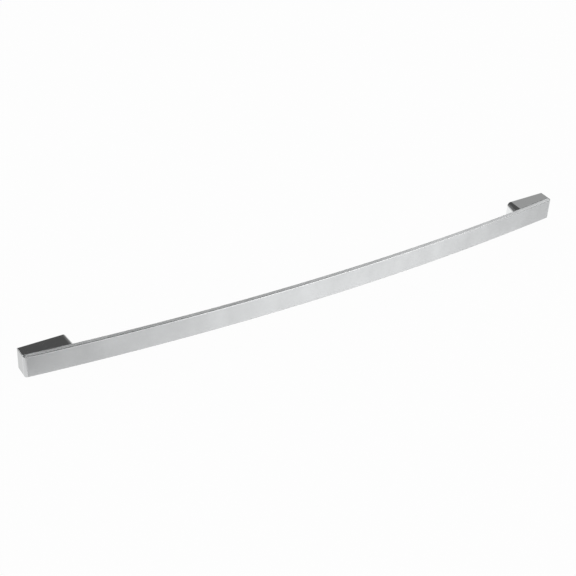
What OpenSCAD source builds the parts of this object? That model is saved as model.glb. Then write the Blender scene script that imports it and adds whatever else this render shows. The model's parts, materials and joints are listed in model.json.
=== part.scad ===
// Refrigerator door handle: a gently bowed flat bar on two cast end posts.
// The door's face is the plane y = 0, the front looks towards -Y, the bar runs along X.
// The origin is midway between the two door screws, on the door's face.

/* [Handle] */
// Length of the handle over its two ends
handle_length = 640; // [420:1:900]
// How far the bar's front stands off the door at the two ends
end_projection = 17.5; // [15:0.5:26]
// How much further the bar's front stands out at the middle of its bow
bow_rise = 17.5; // [8:0.5:40]

/* [Bar] */
// Height of the flat bar
bar_height = 24; // [20:0.5:34]
// Thickness of the flat bar
bar_thickness = 5; // [4.6:0.1:7]
// Radius on the bar's long edges
bar_edge_radius = 0.8; // [0.3:0.1:1.5]
// Radius on the bar's upright front corners
bar_corner_radius = 3; // [1.5:0.1:4]

/* [Posts] */
// Width of each post at the door
post_width = 50; // [44:1:70]
// How much further the post reaches inwards at the bar than at the door
post_flare = 2.5; // [0.5:0.1:4]
// Wall thickness of the hollow casting
post_wall = 2.4; // [1.8:0.1:3]
// Radius on the post's inner top and bottom edges at the door; it grows with the flare
post_inner_radius = 5; // [3.5:0.1:6]
// Radius on the post's outer top and bottom edges
post_outer_radius = 1; // [0.5:0.1:1.5]
// Radius round the post's back, where it meets the door
post_back_radius = 0.7; // [0.3:0.1:1]
// Draft of the hollow's walls, in degrees
post_draft = 1.5; // [0.5:0.1:3]
// Thickness of the stiffening ribs
rib_thickness = 1.8; // [1.2:0.1:2.6]
// How far the ribs stay back from the door
rib_setback = 1.2; // [0.5:0.1:2]

/* [Door screw bosses] */
// Thread diameter for the screws that come through the door
door_thread = 5; // [4:0.5:6]
// Depth of the threaded hole
door_thread_depth = 10; // [6:0.5:11]
// Outside diameter of the boss
door_boss = 10.4; // [8:0.2:12]
// Countersink at the mouth of the threaded hole
door_mouth = 0.5; // [0.2:0.1:0.8]

/* [Bar screws] */
// Distance from the hollow's end walls to the nearer bar screw
bar_screw_inset = 6.6; // [5.6:0.1:8]
// Thread diameter of the bar screws
bar_screw_thread = 4; // [3:0.5:4.5]
// Length of the bar screws under their heads
bar_screw_length = 8; // [7:0.5:9]
// Head diameter of the bar screws
bar_screw_head = 7; // [6:0.1:7.6]
// Head height of the bar screws
bar_screw_head_height = 2.8; // [2:0.1:3.2]
// Width across the flats of the hexagon socket
bar_screw_socket = 2.5; // [2:0.1:3]
// Depth of the hexagon socket
bar_screw_socket_depth = 1.5; // [1:0.1:1.8]
// Casting left under each screw seat
seat_wall = 3.6; // [3:0.1:4.2]
// Diameter of the raised screw seats
seat_diameter = 9.2; // [8.6:0.1:10]

/* [Lock washers] */
// Outside diameter of the split washers
washer_outer = 7.6; // [7:0.1:8.4]
// Thickness of the split washers
washer_thickness = 0.9; // [0.6:0.1:1.2]
// Width of the split
washer_split = 0.8; // [0.4:0.1:1.2]

/* [Clearances] */
// Gap between the bar's back and the post's front at the post's two sides
seat_gap = 0.05; // [0.05:0.05:0.3]
// Gap all round a screw in its clearance hole
hole_gap = 0.25; // [0.15:0.05:0.4]
// Gap all round a thread in its tapped hole
thread_gap = 0.05; // [0.02:0.01:0.1]
// Free depth past a screw's tip
tip_gap = 0.4; // [0.2:0.1:0.6]

/* [Hidden] */
$fn = 96;

satin_aluminium = [0.78, 0.79, 0.80];
polished_chrome = [0.46, 0.47, 0.47];
zinc_steel = [0.62, 0.63, 0.60];
spring_steel = [0.30, 0.31, 0.33];

half_length = handle_length / 2;
half_height = bar_height / 2;
// The front of the bow is an arc through both ends and the middle
bow_radius = (pow(half_length, 2) + pow(bow_rise, 2)) / (2 * bow_rise);
bow_centre_y = bow_radius - end_projection - bow_rise;
back_radius = bow_radius - bar_thickness;
// The bar's ends are trimmed square from a slightly longer bow
bow_half_angle = asin((half_length + 4) / bow_radius);
total_projection = end_projection + bow_rise;
// A rounding crosses its neighbouring face this far outside the true tangent, as a fine crease
crease = 0.02;
corner_x = half_length - bar_corner_radius;
corner_y = bow_y(bow_radius - bar_corner_radius + crease, corner_x);
// The bow is swept in short steps, so that a preview shows it smooth
bow_steps = 2880;

post_centre_x = half_length - post_width / 2;
// The post's inner side runs straight from the door to a foot that is nearer the handle's middle
post_inner_x = half_length - post_width;
post_foot_x = post_inner_x - post_flare;
// The post's front is flat and lies along the chord of the bar's back between the post's two sides
seat_rise = (bow_y(back_radius, half_length) - bow_y(back_radius, post_foot_x)) / (half_length - post_foot_x);
flare_angle = atan(post_flare / -post_front_y(post_foot_x));
// The inner rounding is a cone on both the flared side and the flat top, so its radius grows at this rate
rounding_growth = sin(flare_angle);
// The hollow starts where the flat top does, so that the rounding keeps a full wall
hollow_low_x = post_inner_x + post_inner_radius;
hollow_high_x = half_length - post_wall;
outer_screw_x = hollow_high_x - bar_screw_inset;
inner_screw_x = hollow_low_x + bar_screw_inset;
bar_hole_depth = bar_screw_length - washer_thickness - seat_wall + tip_gap;
// Reach of a cutter past the face that it opens
past = 1;

// Y of a circle about the bow's centre, on its front side, at a distance x from the middle
function bow_y(radius, x) = bow_centre_y - sqrt(pow(radius, 2) - pow(x, 2));

// Y of the post's flat front at a distance x from the handle's middle
function post_front_y(x) = bow_y(back_radius, post_foot_x) + seat_gap + (x - post_foot_x) * seat_rise;

// Radius of the inner rounding at a distance from the door
function rounding_radius(depth) = post_inner_radius + depth * rounding_growth;

// Y of the raised seat that a bar screw clamps, the same wall above the post's front at every screw
function seat_y(x) = post_front_y(x) + seat_wall;

// A rectangle from low to high with its own radius at each corner:
// low-low, high-low, high-high, low-high
module rounded_outline(low, high, radii) {
    corners = [[low[0], low[1]], [high[0], low[1]], [high[0], high[1]], [low[0], high[1]]];
    before = [[0, 1], [-1, 0], [0, -1], [1, 0]];
    after = [[1, 0], [0, 1], [-1, 0], [0, -1]];
    polygon([for (i = [0:3]) for (way = [before[i], after[i]]) corners[i] + radii[i] * way]);
    for (i = [0:3])
        if (radii[i] > 0)
            translate(corners[i] + radii[i] * (before[i] + after[i])) circle(r = radii[i]);
}

// Turns a drawing of X and Z so that it is swept along Y, from y = low to y = high
module along_y(low, high) {
    translate([0, high, 0]) rotate([90, 0, 0]) linear_extrude(high - low) children();
}

// Turns a drawing of Y and Z so that it is swept along X, from x = low to x = high
module along_x(low, high) {
    translate([low, 0, 0]) rotate([90, 0, 90]) linear_extrude(high - low) children();
}

// A round cutter or boss along Y
module rod_y(x, low, high, diameter) {
    translate([x, high, 0]) rotate([90, 0, 0]) cylinder(h = high - low, d = diameter);
}

// The flat bar's cross-section swept round the bow
module bowed_section() {
    translate([0, bow_centre_y, -half_height])
        rotate([0, 0, 270 - bow_half_angle])
            rotate_extrude(angle = 2 * bow_half_angle, $fn = bow_steps)
                rounded_outline([back_radius, 0], [bow_radius, bar_height],
                    [for (i = [0:3]) bar_edge_radius]);
}

// Plan of the bar's ends: square cuts with the upright front corners rounded
module bar_plan() {
    translate([-half_length, corner_y]) square([handle_length, total_projection]);
    translate([-corner_x, -total_projection - past]) square([2 * corner_x, total_projection + 2 * past]);
    for (side = [-1, 1])
        translate([side * corner_x, corner_y]) circle(r = bar_corner_radius);
}

// The bar alone, before drilling
module bar_blank() {
    intersection() {
        bowed_section();
        translate([0, 0, -half_height - past]) linear_extrude(bar_height + 2 * past) bar_plan();
        along_y(-total_projection - past, past)
            rounded_outline([-half_length - crease, -half_height - crease],
                [half_length + crease, half_height + crease], [for (i = [0:3]) bar_edge_radius]);
    }
}

module grip_bar() {
    color(satin_aluminium)
    difference() {
        bar_blank();
        for (side = [-1, 1])
            for (x = [inner_screw_x, outer_screw_x])
                rod_y(side * x, bow_y(back_radius, x) - bar_hole_depth, 0,
                    bar_screw_thread + 2 * thread_gap);
    }
}

// Outside of the right-hand post
module post_body() {
    difference() {
        intersection() {
            translate([0, 0, -half_height - past])
                linear_extrude(bar_height + 2 * past)
                    post_plan();
            along_y(-total_projection - past, past)
                rounded_outline([post_foot_x - past, -half_height], [half_length + crease, half_height],
                    [0, post_outer_radius, post_outer_radius, 0]);
            along_x(post_foot_x - past, half_length + past)
                rounded_outline([-total_projection, -half_height - crease], [crease, half_height + crease],
                    [0, post_back_radius, post_back_radius, 0]);
        }
        for (side = [0, 1])
            mirror([0, 0, side]) inner_rounding();
    }
}

// Plan of the right-hand post: a flared inner side, rounded back corners and a sloping front
module post_plan() {
    turn_x = post_inner_x + post_back_radius * (1 - sin(flare_angle)) / cos(flare_angle);
    polygon([
        [turn_x, 0],
        [turn_x - post_back_radius * cos(flare_angle), post_back_radius * (sin(flare_angle) - 1)],
        [post_foot_x, post_front_y(post_foot_x)],
        [half_length, post_front_y(half_length)],
        [half_length, -post_back_radius],
        [half_length - post_back_radius, 0]
    ]);
    for (x = [turn_x, half_length - post_back_radius])
        translate([x, -post_back_radius]) circle(r = post_back_radius);
}

// What the rounding takes off the post's inner top edge: a wedge above a cone that widens
// towards the bar and lies against both the flat top and the flared side
module inner_rounding() {
    reach = total_projection;
    slant = sqrt(1 + pow(rounding_growth, 2));
    difference() {
        along_x(post_foot_x - reach, hollow_low_x)
            polygon([
                [past, half_height - rounding_radius(-past)],
                [past, half_height + past],
                [-reach, half_height + past],
                [-reach, half_height - rounding_radius(reach)]
            ]);
        translate([hollow_low_x, 2 * past, half_height - rounding_radius(-2 * past)])
            rotate([90 + atan(rounding_growth), 0, 0])
                cylinder(h = (reach + 4 * past) * slant,
                    r1 = rounding_radius(-2 * past) * slant + crease,
                    r2 = rounding_radius(reach + 2 * past) * slant + crease);
    }
}

// Hollow of the right-hand post, open to the door, with drafted walls and a floor that follows the bar
module post_hollow() {
    low_floor = post_front_y(hollow_low_x) + post_wall;
    high_floor = post_front_y(hollow_high_x) + post_wall;
    opening = half_height - post_wall;
    intersection() {
        translate([0, 0, -half_height])
            linear_extrude(bar_height)
                polygon([
                    [hollow_low_x - past * tan(post_draft), past],
                    [hollow_low_x - low_floor * tan(post_draft), low_floor],
                    [hollow_high_x + high_floor * tan(post_draft), high_floor],
                    [hollow_high_x + past * tan(post_draft), past]
                ]);
        along_x(post_inner_x, half_length)
            polygon([
                [past, opening + past * tan(post_draft)],
                [low_floor, opening + low_floor * tan(post_draft)],
                [low_floor, -opening - low_floor * tan(post_draft)],
                [past, -opening - past * tan(post_draft)]
            ]);
    }
}

// What stands inside the hollow: the door screw's boss, its two ribs and the two bar screw seats
module post_inside() {
    rod_y(post_centre_x, -total_projection, 0, door_boss);
    for (side = [-1, 1])
        translate([post_centre_x - rib_thickness / 2, -total_projection, side < 0 ? -half_height : 0])
            cube([rib_thickness, total_projection - rib_setback, half_height]);
    for (x = [inner_screw_x, outer_screw_x])
        rod_y(x, -total_projection, seat_y(x), seat_diameter);
}

// The door screw's threaded hole, with a countersunk mouth
module door_hole() {
    rod_y(post_centre_x, -door_thread_depth, past, door_thread);
    translate([post_centre_x, 0, 0])
        rotate([90, 0, 0])
            cylinder(h = door_mouth, d1 = door_thread + 2 * door_mouth, d2 = door_thread);
}

// The right-hand casting; the left one is its mirror image
module end_post() {
    difference() {
        post_body();
        difference() {
            post_hollow();
            post_inside();
        }
        door_hole();
        for (x = [inner_screw_x, outer_screw_x])
            rod_y(x, -total_projection, past, bar_screw_thread + 2 * hole_gap);
    }
}

module left_post() {
    color(polished_chrome) mirror([1, 0, 0]) end_post();
}

module right_post() {
    color(polished_chrome) end_post();
}

// A socket screw at x, head towards the door, clamped on its washer
module bar_screw(x) {
    head_y = seat_y(abs(x)) + washer_thickness;
    color(zinc_steel)
    difference() {
        union() {
            rod_y(x, head_y - bar_screw_length, head_y + past / 2, bar_screw_thread);
            rod_y(x, head_y, head_y + bar_screw_head_height, bar_screw_head);
        }
        translate([x, head_y + bar_screw_head_height + past, 0])
            rotate([90, 0, 0])
                cylinder(h = bar_screw_socket_depth + past, d = bar_screw_socket / cos(30), $fn = 6);
    }
}

// A split washer at x, flat between the screw's head and the casting's seat
module lock_washer(x) {
    low_y = seat_y(abs(x));
    high_y = low_y + washer_thickness;
    color(spring_steel)
    difference() {
        rod_y(x, low_y, high_y, washer_outer);
        rod_y(x, low_y - past, high_y + past, bar_screw_thread + 2 * hole_gap);
        translate([x - washer_split / 2, low_y - past, 0])
            cube([washer_split, washer_thickness + 2 * past, washer_outer]);
    }
}

grip_bar();
left_post();
right_post();
bar_screw(-outer_screw_x);  // bar_screw_left_outer
bar_screw(-inner_screw_x);  // bar_screw_left_inner
bar_screw(inner_screw_x);  // bar_screw_right_inner
bar_screw(outer_screw_x);  // bar_screw_right_outer
lock_washer(-outer_screw_x);  // lock_washer_left_outer
lock_washer(-inner_screw_x);  // lock_washer_left_inner
lock_washer(inner_screw_x);  // lock_washer_right_inner
lock_washer(outer_screw_x);  // lock_washer_right_outer
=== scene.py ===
import json
import math

import bpy
import numpy as np
from mathutils import Euler, Matrix, Vector


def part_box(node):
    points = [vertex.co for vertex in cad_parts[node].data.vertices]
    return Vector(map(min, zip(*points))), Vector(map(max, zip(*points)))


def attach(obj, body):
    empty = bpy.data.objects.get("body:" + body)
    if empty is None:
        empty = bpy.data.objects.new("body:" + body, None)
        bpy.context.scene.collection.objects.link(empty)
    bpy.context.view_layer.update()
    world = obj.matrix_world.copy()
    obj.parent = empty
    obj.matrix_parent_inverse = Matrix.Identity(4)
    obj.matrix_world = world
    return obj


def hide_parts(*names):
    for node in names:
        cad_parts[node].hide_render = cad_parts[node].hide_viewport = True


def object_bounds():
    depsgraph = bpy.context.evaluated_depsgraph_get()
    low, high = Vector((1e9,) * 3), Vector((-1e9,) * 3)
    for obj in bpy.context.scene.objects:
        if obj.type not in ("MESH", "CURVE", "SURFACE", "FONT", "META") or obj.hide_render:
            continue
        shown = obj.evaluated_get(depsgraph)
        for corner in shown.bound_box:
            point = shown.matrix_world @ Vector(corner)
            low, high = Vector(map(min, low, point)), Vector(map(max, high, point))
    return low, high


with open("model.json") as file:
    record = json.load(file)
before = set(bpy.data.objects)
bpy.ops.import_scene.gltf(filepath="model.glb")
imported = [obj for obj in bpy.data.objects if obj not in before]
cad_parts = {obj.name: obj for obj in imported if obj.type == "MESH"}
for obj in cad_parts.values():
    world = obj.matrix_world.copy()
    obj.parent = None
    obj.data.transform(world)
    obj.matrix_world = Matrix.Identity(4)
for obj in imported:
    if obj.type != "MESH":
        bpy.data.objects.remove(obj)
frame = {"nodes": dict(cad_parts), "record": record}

bl_info = {
    "name": "Bowed Door Handle Finisher",
    "version": (1, 0, 0),
    "blender": (4, 5, 0),
    "location": "View3D > Sidebar > Handle",
    "description": "Satin bar, polished end posts, fasteners and studio stage for a bowed door handle",
    "category": "Object",
}

CAD_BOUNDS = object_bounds()
BODY = "root"
MM = 0.001
THREAD_SIDES = 36
THREAD_STEPS = 10
THREAD_WALL = 0.03 * MM
THREAD_CLEARANCE = 0.005 * MM

BAR_NODE = "grip_bar"
POST_NODES = ("left_post", "right_post")
# Soft lights of the room: direction, degrees to the core's edge and to the rim, and level
ROOM_LIGHTS = (
    ((0.70, 0.52, 0.49), 8.5, 14.0, 0.34),
    ((0.25, -0.92, 0.22), 5.0, 36.0, 0.8),
    ((0.75, 0.10, 0.65), 5.0, 24.0, 1.5),
)
CURTAIN_LEVEL = 1.8
WINDOW_LEVEL = 3.0
SKYLIGHT_LEVEL = 4.4
# Painted reflections: patches of the floor that only the metal's mirroring sees, a painted dim reflection and a
# painted bright reflection: centre, inner and outer radius, and change. One lies in front of the left end and
# one behind the bar at the right post.
PAINTED_REFLECTION_PATCHES = (
    ((-0.33, -0.13), 0.05, 0.11, -0.55),
    ((0.256, 0.020), 0.02, 0.06, 0.55),
)
SCREW_NODES = [name for name in sorted(frame["nodes"]) if name.startswith("bar_screw")]
WASHER_NODES = [name for name in sorted(frame["nodes"]) if name.startswith("lock_washer")]


def door_holes():
    """Mouth, radius and length of each threaded door screw hole, in metres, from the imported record."""
    holes = []
    for mount in frame["record"]["mounts"]:
        if mount["kind"] == "threaded_hole":
            dims = mount["dims"]
            holes.append((mount["name"], Vector(mount["pos_m"]), dims["r_mm"] * MM, dims["length_mm"] * MM))
    return holes


# Shader building


class Signal:
    """A number that varies over a surface; an expression on signals adds its Math nodes."""

    def __init__(self, finish, socket):
        self.finish = finish
        self.socket = socket

    def _math(self, operation, *values, clamp=False):
        node = self.finish.node("ShaderNodeMath", {"operation": operation, "use_clamp": clamp},
                                dict(enumerate(values)))
        return Signal(self.finish, node.outputs[0])

    def __add__(self, other):
        return self._math("ADD", self, other)

    def __radd__(self, other):
        return self._math("ADD", other, self)

    def __sub__(self, other):
        return self._math("SUBTRACT", self, other)

    def __rsub__(self, other):
        return self._math("SUBTRACT", other, self)

    def __mul__(self, other):
        return self._math("MULTIPLY", self, other)

    def __rmul__(self, other):
        return self._math("MULTIPLY", other, self)

    def __truediv__(self, other):
        return self._math("DIVIDE", self, other)

    def __abs__(self):
        return self._math("ABSOLUTE", self)

    def clamped(self):
        """Held between 0 and 1."""
        return self._math("ADD", self, 0.0, clamp=True)

    def step(self, low, high):
        """0 below low, 1 above high and an S curve between."""
        node = self.finish.node("ShaderNodeMapRange", {"interpolation_type": "SMOOTHSTEP"},
                                {"Value": self, "From Min": low, "From Max": high})
        return Signal(self.finish, node.outputs[0])


class Finish:
    """The node tree of one material, or of the world."""

    def __init__(self, owner):
        owner.use_nodes = True
        self.owner = owner
        self.tree = owner.node_tree
        self.tree.nodes.clear()

    def node(self, kind, settings=None, inputs=None):
        """Adds a node: its settings first, then a value or a link for each named socket."""
        made = self.tree.nodes.new(kind)
        for name, value in (settings or {}).items():
            setattr(made, name, value)
        for name, value in (inputs or {}).items():
            socket = made.inputs[name]
            if isinstance(value, Signal):
                value = value.socket
            if isinstance(value, bpy.types.NodeSocket):
                self.tree.links.new(value, socket)
            else:
                socket.default_value = value
        return made

    def object_place(self, scale):
        """Object coordinates in metres, stretched by scale along each axis."""
        place = self.node("ShaderNodeTexCoord").outputs["Object"]
        return self.node("ShaderNodeMapping", {"vector_type": "POINT"},
                         {"Vector": place, "Scale": scale}).outputs[0]

    def surface_place(self, scale):
        """The piece's own UV map in metres, stretched by scale."""
        place = self.node("ShaderNodeUVMap", {"uv_map": "surface"}).outputs[0]
        return self.node("ShaderNodeMapping", {"vector_type": "POINT"},
                         {"Vector": place, "Scale": scale}).outputs[0]

    def noise(self, place, detail=3.0, roughness=0.55):
        """Smooth noise from 0 to 1, one lump in each unit of place."""
        made = self.node("ShaderNodeTexNoise", {"noise_dimensions": "3D"},
                         {"Vector": place, "Scale": 1.0, "Detail": detail, "Roughness": roughness})
        return Signal(self, made.outputs[0])

    def parts(self, vector):
        """The X, Y and Z of a vector, as signals."""
        made = self.node("ShaderNodeSeparateXYZ", None, {0: vector})
        return [Signal(self, made.outputs[name]) for name in "XYZ"]

    def glow(self, direction, centre, core, rim):
        """1 within core degrees of a centre direction, 0 beyond rim degrees and smooth between."""
        made = self.node("ShaderNodeVectorMath", {"operation": "DOT_PRODUCT"},
                         {0: direction, 1: Vector(centre).normalized()})
        return Signal(self, made.outputs["Value"]).step(math.cos(math.radians(rim)),
                                                        math.cos(math.radians(core)))

    def attribute(self, name):
        """A number that the piece's own mesh carries."""
        return Signal(self, self.node("ShaderNodeAttribute", {"attribute_name": name}).outputs["Fac"])

    def blend(self, factor, first, second):
        """A colour from first to second as factor goes from 0 to 1."""
        made = self.node("ShaderNodeMix", {"data_type": "RGBA"},
                         {"Factor": factor, "A": first, "B": second})
        return made.outputs["Result"]

    def relief(self, height, distance):
        """A bumped normal from a height signal, distance being its real height in metres."""
        return self.node("ShaderNodeBump", None,
                         {"Height": height, "Distance": distance, "Strength": 1.0}).outputs[0]

    def metal(self, colour, roughness, normal, **constants):
        """Ends the tree in a metal surface; constants are set on the sockets themselves."""
        inputs = {"Base Color": colour, "Metallic": 1.0, "Roughness": roughness, "Normal": normal}
        inputs.update(constants)
        surface = self.node("ShaderNodeBsdfPrincipled", None, inputs)
        self.node("ShaderNodeOutputMaterial", None, {"Surface": surface.outputs[0]})
        return self.owner


def rgba(colour, level=1.0):
    """A colour property as the four numbers of a colour socket."""
    return tuple(level * part for part in colour) + (1.0,)


def satin_metal(name, bar):
    """Lengthwise satin grain on the flats, smoother and mirror-like on the small edge radii, with painted shade
    on the front long edges.
    """
    finish = Finish(bpy.data.materials.new(name))
    grain = finish.noise(finish.surface_place((70.0, 5200.0, 1.0)), detail=4.0, roughness=0.6)
    streak = finish.noise(finish.surface_place((22.0, 1300.0, 1.0)), detail=2.0)
    haze = finish.noise(finish.object_place((9.0, 60.0, 60.0)), detail=2.0)
    edge = finish.attribute("polish")
    tone = ((grain - 0.5) * 1.6 + (streak - 0.5) * 2.2) * (1.0 - edge) + (haze - 0.5) * 0.6
    metal = finish.blend((tone + 0.5).clamped(), rgba(bar.colour, 0.91), rgba(bar.colour, 1.05))
    # Painted shade: the metal on the front long edges is darkened to the edge shade setting.
    colour = finish.blend(finish.attribute("painted_shade_edge"), metal, rgba(bar.colour, bar.painted_edge_shade))
    satin = bar.roughness + (haze - 0.5) * 0.06 + (grain - 0.5) * 0.12
    roughness = satin * (1.0 - edge) + bar.edge_roughness * edge
    normal = finish.relief(grain * (1.0 - edge), bar.grain_depth)
    return finish.metal(colour, roughness, normal, Anisotropic=bar.stretch, **{"Anisotropic Rotation": 0.25})


def polished_chrome(name, post):
    """Bright plating with the slow waviness of a polished casting and a faint haze of handling."""
    finish = Finish(bpy.data.materials.new(name))
    wave = finish.noise(finish.object_place((160.0, 160.0, 160.0)), detail=1.0)
    speck = finish.noise(finish.object_place((1400.0, 1400.0, 1400.0)), detail=3.0, roughness=0.7)
    haze = finish.noise(finish.object_place((45.0, 70.0, 70.0)), detail=3.0)
    colour = finish.blend(haze.step(0.3, 0.7), rgba(post.colour, 0.985), rgba(post.colour, 1.015))
    roughness = post.roughness + haze.step(0.45, 0.75) * 0.03 + (speck - 0.5) * 0.015
    normal = finish.relief(wave + speck * 0.012, post.waviness)
    return finish.metal(colour, roughness, normal)


def plated_steel(name, colour, roughness, mottle):
    """Machined steel with turning marks and an uneven plating."""
    finish = Finish(bpy.data.materials.new(name))
    stain = finish.noise(finish.object_place((700.0, 700.0, 700.0)), detail=4.0)
    scratch = finish.noise(finish.object_place((5200.0, 900.0, 5200.0)), detail=3.0)
    shade = finish.blend(stain.step(0.35, 0.7), rgba(colour, 1.0 - mottle), rgba(colour, 1.0 + mottle))
    rough = roughness + (stain - 0.5) * 0.20
    return finish.metal(shade, rough, finish.relief(scratch, 0.00002))


# Surfaces


def loop_faces(rows, columns, ring=False):
    """Quads between rows of points, each row being a closed loop, and the last row joined to the
    first if the rows stand in a ring."""
    row, column = np.meshgrid(np.arange(rows if ring else rows - 1), np.arange(columns), indexing="ij")
    below = (row + 1) % rows
    after = (column + 1) % columns
    quads = np.stack([row * columns + column, row * columns + after,
                      below * columns + after, below * columns + column], axis=-1)
    return quads.reshape(-1, 4)


def make_piece(name, points, faces, caps=()):
    """A mesh object from whole arrays of points and quads, and flat caps of any outline."""
    mesh = bpy.data.meshes.new(name)
    mesh.from_pydata(points.tolist(), [], faces.tolist() + [list(cap) for cap in caps])
    mesh.validate()
    mesh.shade_smooth()
    piece = bpy.data.objects.new(name, mesh)
    bpy.context.scene.collection.objects.link(piece)
    return piece


def store_numbers(piece, name, values):
    """Gives each point of a piece a number that its material can read."""
    piece.data.attributes.new(name, "FLOAT", "POINT").data.foreach_set("value", values.astype(np.float32))


def store_surface_uv(piece, uv):
    """Gives a piece the UV map that its material follows, one pair for each point, in metres."""
    mesh = piece.data
    corners = np.zeros(len(mesh.loops), np.int32)
    mesh.loops.foreach_get("vertex_index", corners)
    mesh.uv_layers.new(name="surface").data.foreach_set("uv", uv[corners].astype(np.float32).ravel())


def set_grain_along_x(piece):
    """Lets the stretched highlight take X as the grain's direction on every face. The direction
    turns about the Z axis of the texture space, so that axis is put far behind the piece."""
    piece.data.use_auto_texspace = False
    piece.data.texspace_location = (0.0, 1.0, 0.0)
    piece.data.texspace_size = (16.0, 1.0, 1.0)


def rest_on(piece, material, replaced=()):
    """Hangs a finished piece on the frame, with its finish and the nodes it stands for."""
    piece.data.materials.clear()
    piece.data.materials.append(material)
    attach(piece, BODY)
    if replaced:
        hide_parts(*replaced)


def bar_stations(half, corner, spacing):
    """X of the cross-sections along the bar: even over the bow and crowded where the ends turn."""
    rounding = half - corner + corner * np.sin(np.linspace(0.0, 0.5 * np.pi, 19))
    middle = np.linspace(0.0, half - corner, round((half - corner) / spacing), endpoint=False)
    right = np.concatenate([middle, rounding])
    return np.concatenate([-right[:0:-1], right])


def bowed_bar(name, bar):
    """The flat bar: at each station along X the section is a rounded rectangle between two arcs
    about one centre, the front one turning into a quarter circle at each end. Its half-height
    shrinks on a small quarter circle at the very end, so that every edge is rounded."""
    low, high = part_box(BAR_NODE)
    half = high.x
    rise = bar.bow_rise
    front_middle = low.y
    radius = (half ** 2 + rise ** 2) / (2.0 * rise)
    centre_y = front_middle + radius
    edge = bar.edge_radius
    corner = bar.corner_radius
    x = bar_stations(half, corner, 0.004)
    distance = np.abs(x)

    front = centre_y - np.sqrt(radius ** 2 - x ** 2)
    corner_x = half - corner
    corner_y = centre_y - math.sqrt((radius - corner) ** 2 - corner_x ** 2)
    in_corner = distance > corner_x
    reach = np.clip(distance - corner_x, 0.0, corner)
    front = np.where(in_corner, np.maximum(front, corner_y - np.sqrt(corner ** 2 - reach ** 2)), front)
    back = centre_y - np.sqrt((radius - bar.thickness) ** 2 - x ** 2)
    shrink = np.clip(distance - (half - edge), 0.0, edge)
    half_height = high.z - edge + np.sqrt(edge ** 2 - shrink ** 2)

    arc_points = 7
    angle = np.linspace(0.0, 0.5 * np.pi, arc_points)
    side_y = np.concatenate([np.cos(angle), -np.sin(angle), -np.cos(angle), np.sin(angle)])
    side_z = np.concatenate([np.sin(angle), np.cos(angle), -np.sin(angle), -np.cos(angle)])
    at_back = np.repeat([1.0, 0.0, 0.0, 1.0], arc_points)
    at_top = np.repeat([1.0, 1.0, -1.0, -1.0], arc_points)

    limit = np.minimum(edge, 0.5 * (back - front))[:, None]
    y = np.where(at_back > 0.5, back[:, None] - limit, front[:, None] + limit) + limit * side_y
    z = at_top * (half_height[:, None] - limit) + limit * side_z
    points = np.stack([np.broadcast_to(x[:, None], y.shape), y, z], axis=-1)
    rows, columns = y.shape
    faces = loop_faces(rows, columns)
    caps = [range(columns - 1, -1, -1), range((rows - 1) * columns, rows * columns)]
    piece = make_piece(name, points.reshape(-1, 3), faces, caps)

    along = np.broadcast_to(x[:, None], y.shape)
    step_y = np.diff(points[:, :, 1], axis=1, append=points[:, :1, 1])
    step_z = np.diff(points[:, :, 2], axis=1, append=points[:, :1, 2])
    around = np.cumsum(np.hypot(step_y, step_z), axis=1)
    store_surface_uv(piece, np.stack([along, around], axis=-1).reshape(-1, 2))

    inner = np.zeros(columns)
    for first in range(0, columns, arc_points):
        inner[first + 1:first + arc_points - 1] = 1.0
    turning = np.clip((distance - corner_x) / (0.25 * corner), 0.0, 1.0)[:, None]
    store_numbers(piece, "polish", np.maximum(inner[None, :], turning).ravel())
    # Marks the points of the front long edges that carry the painted shade.
    store_numbers(piece, "painted_shade_edge", (inner[None, :] * (1.0 - at_back) * (1.0 - turning)).ravel())
    set_grain_along_x(piece)
    smooth = piece.modifiers.new("flat faces stay flat", "WEIGHTED_NORMAL")
    smooth.mode = "FACE_AREA"
    smooth.weight = 90
    return piece


def thread_sleeve(name, mouth, radius, length, pitch, depth):
    """The cut thread on a hole's wall, a thin closed sleeve: its inner radius falls from the wall to
    the crest and back once in each pitch, so that radius = wall - depth * crest(height / pitch -
    turn), and its outer radius is the wall's. Each row is the sleeve's section at one turn."""
    steps = int(THREAD_STEPS * length / pitch)
    height = np.linspace(0.0, length, steps + 1)
    turn = np.linspace(0.0, 2.0 * np.pi, THREAD_SIDES, endpoint=False)[:, None]
    phase = np.mod(height / pitch - turn / (2.0 * np.pi), 1.0)
    crest = np.clip(1.6 * (1.0 - np.abs(2.0 * phase - 1.0)) - 0.3, 0.0, 1.0)
    inner = radius - THREAD_WALL - depth * crest
    outer = np.full((THREAD_SIDES, 2), radius - THREAD_CLEARANCE)
    r = np.concatenate([inner, outer], axis=1)
    y = np.broadcast_to(mouth.y - np.concatenate([height, [length, 0.0]]), r.shape)
    points = np.stack([mouth.x + r * np.cos(turn), y, mouth.z + r * np.sin(turn)], axis=-1)
    return make_piece(name, points.reshape(-1, 3), loop_faces(*r.shape, ring=True))


# Settings


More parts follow.
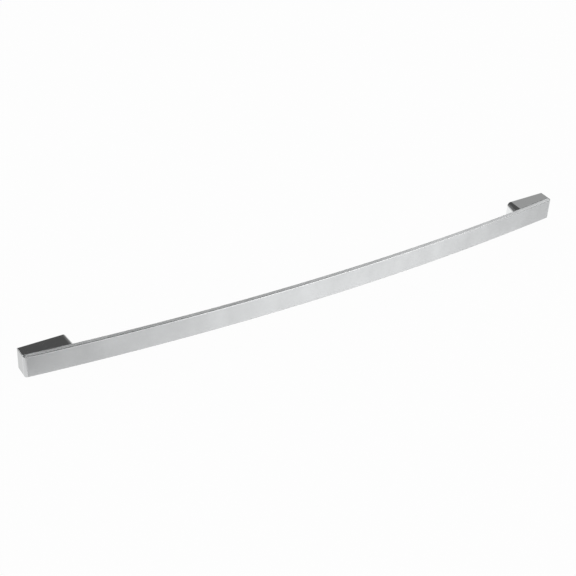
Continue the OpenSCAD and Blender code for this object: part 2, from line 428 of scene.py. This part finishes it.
class HandleBarSettings(bpy.types.PropertyGroup):
    """Sizes and finish of the flat bar"""

    bow_rise: bpy.props.FloatProperty(
        name="Bow", description="How far the bar's middle stands out past its ends",
        default=0.0175, min=0.005, max=0.05, unit="LENGTH", precision=4)
    thickness: bpy.props.FloatProperty(
        name="Thickness", description="Thickness of the flat bar",
        default=0.005, min=0.003, max=0.01, unit="LENGTH", precision=4)
    edge_radius: bpy.props.FloatProperty(
        name="Edge radius", description="Radius on the bar's long edges",
        default=0.0008, min=0.0002, max=0.002, unit="LENGTH", precision=4)
    corner_radius: bpy.props.FloatProperty(
        name="Corner radius", description="Radius on the upright front corners at both ends",
        default=0.003, min=0.001, max=0.0045, unit="LENGTH", precision=4)
    colour: bpy.props.FloatVectorProperty(
        name="Metal", description="Colour of the satin metal",
        default=(0.715, 0.725, 0.73), min=0.0, max=1.0, size=3, subtype="COLOR")
    roughness: bpy.props.FloatProperty(
        name="Satin", description="Roughness of the satin faces",
        default=0.55, min=0.05, max=1.0, subtype="FACTOR")
    edge_roughness: bpy.props.FloatProperty(
        name="Edge polish", description="Roughness of the polished edge radii",
        default=0.12, min=0.02, max=1.0, subtype="FACTOR")
    # Painted shade: how dark the front long edges are painted against the flats.
    painted_edge_shade: bpy.props.FloatProperty(
        name="Painted edge shade", description="Brightness of the front edges' metal against the flats'",
        default=0.72, min=0.0, max=1.0, subtype="FACTOR")
    stretch: bpy.props.FloatProperty(
        name="Stretch", description="How much the grain stretches a highlight across the bar",
        default=0.95, min=0.0, max=1.0, subtype="FACTOR")
    grain_depth: bpy.props.FloatProperty(
        name="Grain depth", description="Height of the lengthwise grain",
        default=0.000012, min=0.0, max=0.0002, unit="LENGTH", precision=6)


class HandlePostSettings(bpy.types.PropertyGroup):
    """Finish of the cast end posts"""

    colour: bpy.props.FloatVectorProperty(
        name="Plating", description="Colour of the bright plating",
        default=(0.62, 0.63, 0.63), min=0.0, max=1.0, size=3, subtype="COLOR")
    roughness: bpy.props.FloatProperty(
        name="Polish", description="Roughness of the plating",
        default=0.07, min=0.01, max=1.0, subtype="FACTOR")
    waviness: bpy.props.FloatProperty(
        name="Waviness", description="Height of the casting's slow waves under the plating",
        default=0.00002, min=0.0, max=0.001, unit="LENGTH", precision=6)


class HandleFastenerSettings(bpy.types.PropertyGroup):
    """Finish of the screws and washers, and the thread of the door screw holes"""

    screw_colour: bpy.props.FloatVectorProperty(
        name="Screws", description="Colour of the zinc plated screws",
        default=(0.56, 0.56, 0.53), min=0.0, max=1.0, size=3, subtype="COLOR")
    washer_colour: bpy.props.FloatVectorProperty(
        name="Washers", description="Colour of the oiled spring steel washers",
        default=(0.16, 0.165, 0.18), min=0.0, max=1.0, size=3, subtype="COLOR")
    thread_colour: bpy.props.FloatVectorProperty(
        name="Threads", description="Colour of the bare casting where the thread is cut",
        default=(0.42, 0.42, 0.41), min=0.0, max=1.0, size=3, subtype="COLOR")
    thread_pitch: bpy.props.FloatProperty(
        name="Thread pitch", description="Pitch of the door screws' thread",
        default=0.0008, min=0.0004, max=0.0015, unit="LENGTH", precision=4)
    thread_depth: bpy.props.FloatProperty(
        name="Thread depth", description="Depth of the cut thread",
        default=0.0004, min=0.0001, max=0.0008, unit="LENGTH", precision=4)


class HandleStageSettings(bpy.types.PropertyGroup):
    """Camera, floor and studio light"""

    camera_place: bpy.props.FloatVectorProperty(
        name="Camera", description="Place of the camera",
        default=(-0.6418, -0.9585, 0.7798), size=3, subtype="TRANSLATION", unit="LENGTH", precision=4)
    heading: bpy.props.FloatProperty(
        name="Heading", description="Turn of the camera about the upright axis, from looking along +Y",
        default=-0.575, subtype="ANGLE", unit="ROTATION")
    dip: bpy.props.FloatProperty(
        name="Dip", description="How far the camera looks down",
        default=0.6076, subtype="ANGLE", unit="ROTATION")
    roll: bpy.props.FloatProperty(
        name="Roll", description="Turn of the camera about its own line of sight",
        default=0.0592, subtype="ANGLE", unit="ROTATION")
    lens: bpy.props.FloatProperty(
        name="Lens", description="Focal length on a sensor 36 mm wide",
        default=82.65, min=20.0, max=300.0)
    floor_white: bpy.props.FloatProperty(
        name="Floor white", description="Share of plain white in what the camera sees of the floor",
        default=0.97, min=0.0, max=1.0, subtype="FACTOR")
    floor_mirrored: bpy.props.FloatProperty(
        name="Floor mirrored", description="Brightness of the floor as the metal mirrors it",
        default=0.87, min=0.0, max=1.0, subtype="FACTOR")


# Operators


class HANDLE_OT_bar(bpy.types.Operator):
    """Makes the bowed flat bar with its satin finish"""

    bl_idname = "handle.bar"
    bl_label = "Bowed bar"

    def execute(self, context):
        bar = context.scene.handle_bar
        piece = bowed_bar("bowed_bar", bar)
        rest_on(piece, satin_metal("satin metal", bar), [BAR_NODE])
        return {"FINISHED"}


class HANDLE_OT_posts(bpy.types.Operator):
    """Gives both end posts their bright plating"""

    bl_idname = "handle.posts"
    bl_label = "End posts"

    def execute(self, context):
        plating = polished_chrome("bright plating", context.scene.handle_post)
        for name in POST_NODES:
            dress_node(name, plating)
        return {"FINISHED"}


class HANDLE_OT_fasteners(bpy.types.Operator):
    """Gives the bar screws and split washers their steel finishes"""

    bl_idname = "handle.fasteners"
    bl_label = "Screws and washers"

    def execute(self, context):
        fastener = context.scene.handle_fastener
        zinc = plated_steel("zinc plating", fastener.screw_colour, 0.30, 0.08)
        spring = plated_steel("oiled spring steel", fastener.washer_colour, 0.42, 0.15)
        for name in SCREW_NODES:
            dress_node(name, zinc)
        for name in WASHER_NODES:
            dress_node(name, spring)
        return {"FINISHED"}


class HANDLE_OT_threads(bpy.types.Operator):
    """Cuts the thread into the door screw hole of each post"""

    bl_idname = "handle.threads"
    bl_label = "Door screw threads"

    def execute(self, context):
        fastener = context.scene.handle_fastener
        bare = plated_steel("cut casting", fastener.thread_colour, 0.35, 0.10)
        for name, middle, radius, length in door_holes():
            mouth = Vector((middle.x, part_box(POST_NODES[0])[1].y - 0.5 * MM, middle.z))
            piece = thread_sleeve(name.replace("screw_hole", "thread"), mouth, radius, length,
                                  fastener.thread_pitch, fastener.thread_depth)
            rest_on(piece, bare)
        return {"FINISHED"}


def dress_node(name, material):
    """Puts a material on a CAD node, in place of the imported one."""
    slots = frame["nodes"][name].material_slots
    if not slots:
        raise RuntimeError(f"{name} has no material slot")
    for slot in slots:
        slot.material = material


class HANDLE_OT_stage(bpy.types.Operator):
    """Sets the camera, the pale floor and the soft studio light"""

    bl_idname = "handle.stage"
    bl_label = "Stage"

    def execute(self, context):
        stage = context.scene.handle_stage
        make_camera(stage)
        make_floor(stage)
        make_world()
        make_lamps()
        context.scene.view_settings.view_transform = "Standard"
        return {"FINISHED"}


def make_camera(stage):
    """The camera at the photograph's angle: headed, dipped, then rolled about its line of sight."""
    data = bpy.data.cameras.new("camera")
    data.sensor_width = 36.0
    data.lens = stage.lens
    data.clip_end = 100.0
    camera = bpy.data.objects.new("camera", data)
    bpy.context.scene.collection.objects.link(camera)
    aim = Euler((0.5 * math.pi - stage.dip, 0.0, stage.heading)).to_matrix().to_4x4()
    camera.matrix_world = (Matrix.Translation(Vector(stage.camera_place)) @ aim
                           @ Matrix.Rotation(stage.roll, 4, "Z"))
    bpy.context.scene.camera = camera


def make_floor(stage):
    """A plain pale floor under the lowest edge of the handle, clear from below. The camera sees it nearly
    white, with the handle's shadow on it, and the metal mirrors it a little dimmer, with painted reflections:
    patches that only the metal's mirroring sees dimmer or brighter."""
    size = 6.0
    level = CAD_BOUNDS[0].z
    corners = np.array([[-size, -size, level], [size, -size, level], [size, size, level], [-size, size, level]])
    floor = make_piece("floor", corners, np.array([[0, 1, 2, 3]]))
    finish = Finish(bpy.data.materials.new("pale floor"))
    paths = finish.node("ShaderNodeLightPath").outputs
    seen = (Signal(finish, paths["Is Camera Ray"]) + Signal(finish, paths["Is Glossy Ray"])
            + Signal(finish, paths["Is Transmission Ray"])).clamped()
    matt = finish.node("ShaderNodeBsdfDiffuse", None, {"Color": (0.85, 0.85, 0.85, 1.0)})
    x, y, _ = finish.parts(finish.object_place((1.0, 1.0, 1.0)))
    # Painted reflections: the floor's brightness in the metal's mirroring is lowered or raised in patches, for
    # glossy rays only.
    painted_reflection_level = 1.0
    for (patch_x, patch_y), inside, outside, change in PAINTED_REFLECTION_PATCHES:
        away = (x - patch_x) * (x - patch_x) + (y - patch_y) * (y - patch_y)
        painted_reflection_level = painted_reflection_level + (1.0 - away.step(inside ** 2, outside ** 2)) * change
    mirrored = painted_reflection_level * stage.floor_mirrored
    direct = Signal(finish, paths["Is Camera Ray"])
    white = finish.node("ShaderNodeEmission", None, {"Color": (1.0, 1.0, 1.0, 1.0),
                                                     "Strength": direct + (1.0 - direct) * mirrored})
    both = finish.node("ShaderNodeMixShader", None,
                       {0: seen * stage.floor_white, 1: matt.outputs[0], 2: white.outputs[0]})
    clear = finish.node("ShaderNodeBsdfTransparent")
    behind = finish.node("ShaderNodeNewGeometry").outputs["Backfacing"]
    sided = finish.node("ShaderNodeMixShader", None, {0: behind, 1: both.outputs[0], 2: clear.outputs[0]})
    finish.node("ShaderNodeOutputMaterial", None, {"Surface": sided.outputs[0]})
    floor.data.materials.append(finish.owner)


def make_world():
    """The room that the metal mirrors: dim low down and dark above, with a pale wall to the right,
    a window strip and a narrow skylight behind and a curtain of light in front. The camera sees
    plain white."""
    world = bpy.data.worlds.new("studio")
    bpy.context.scene.world = world
    finish = Finish(world)
    direction = finish.node("ShaderNodeTexCoord").outputs["Generated"]
    across, back, height = finish.parts(direction)
    seen = Signal(finish, finish.node("ShaderNodeLightPath").outputs["Is Camera Ray"])
    room = 0.26 - height.step(0.20, 0.62) * 0.15
    for centre, core, rim, level in ROOM_LIGHTS:
        room = room + finish.glow(direction, centre, core, rim) * level
    skewed = across - height * 0.60
    curtain = skewed.step(-0.25, 0.38) * (1.0 - skewed.step(0.43, 0.67)) * (1.0 - back.step(-0.85, 0.0))
    window = (across.step(-0.5, -0.4) * (1.0 - across.step(0.21, 0.27))
              * (1.0 - height.step(0.50, 0.58)) * back.step(0.0, 0.2))
    skylight = (across.step(0.0, 0.05) * (1.0 - across.step(0.14, 0.20))
                * back.step(0.02, 0.15) * (1.0 - back.step(0.42, 0.56)) * height.step(0.70, 0.80))
    room = room + curtain * CURTAIN_LEVEL + window * WINDOW_LEVEL + skylight * SKYLIGHT_LEVEL
    strength = room * (1.0 - seen) + seen
    light = finish.node("ShaderNodeBackground", None, {"Color": (1.0, 1.0, 1.0, 1.0), "Strength": strength})
    finish.node("ShaderNodeOutputWorld", None, {"Surface": light.outputs[0]})


def soft_lamp(name, place, target, width, height, power):
    """A rectangular softbox at place, turned to target."""
    data = bpy.data.lights.new(name, "AREA")
    data.shape = "RECTANGLE"
    data.size = width
    data.size_y = height
    data.energy = power
    lamp = bpy.data.objects.new(name, data)
    bpy.context.scene.collection.objects.link(lamp)
    lamp.location = place
    lamp.rotation_euler = (Vector(target) - Vector(place)).to_track_quat("-Z", "Y").to_euler()


def make_lamps():
    """A weak broad softbox in front of the middle."""
    soft_lamp("front softbox", (1.0, -1.6, 0.9), (0.0, 0.0, 0.0), 1.4, 0.9, 4.0)


class HANDLE_PT_panel(bpy.types.Panel):
    """Lists the handle's pieces and their settings"""

    bl_label = "Door handle"
    bl_idname = "HANDLE_PT_panel"
    bl_space_type = "VIEW_3D"
    bl_region_type = "UI"
    bl_category = "Handle"

    def draw(self, context):
        layout = self.layout
        for operator in OPERATORS:
            layout.operator(operator.bl_idname)
        for group in SETTINGS:
            settings = getattr(context.scene, group)
            box = layout.box()
            for name in settings.bl_rna.properties.keys():
                if name not in ("rna_type", "name"):
                    box.prop(settings, name)


SETTINGS = {
    "handle_bar": HandleBarSettings,
    "handle_post": HandlePostSettings,
    "handle_fastener": HandleFastenerSettings,
    "handle_stage": HandleStageSettings,
}
OPERATORS = (HANDLE_OT_stage, HANDLE_OT_bar, HANDLE_OT_posts, HANDLE_OT_fasteners, HANDLE_OT_threads)
CLASSES = (*SETTINGS.values(), *OPERATORS, HANDLE_PT_panel)


def register():
    for each in CLASSES:
        bpy.utils.register_class(each)
    for name, group in SETTINGS.items():
        setattr(bpy.types.Scene, name, bpy.props.PointerProperty(type=group))


def unregister():
    for name in SETTINGS:
        delattr(bpy.types.Scene, name)
    for each in reversed(CLASSES):
        bpy.utils.unregister_class(each)


def main():
    register()
    bpy.ops.handle.stage()
    bpy.ops.handle.bar()
    bpy.ops.handle.posts()
    bpy.ops.handle.fasteners()
    bpy.ops.handle.threads()


if __name__ == "__main__":
    main()
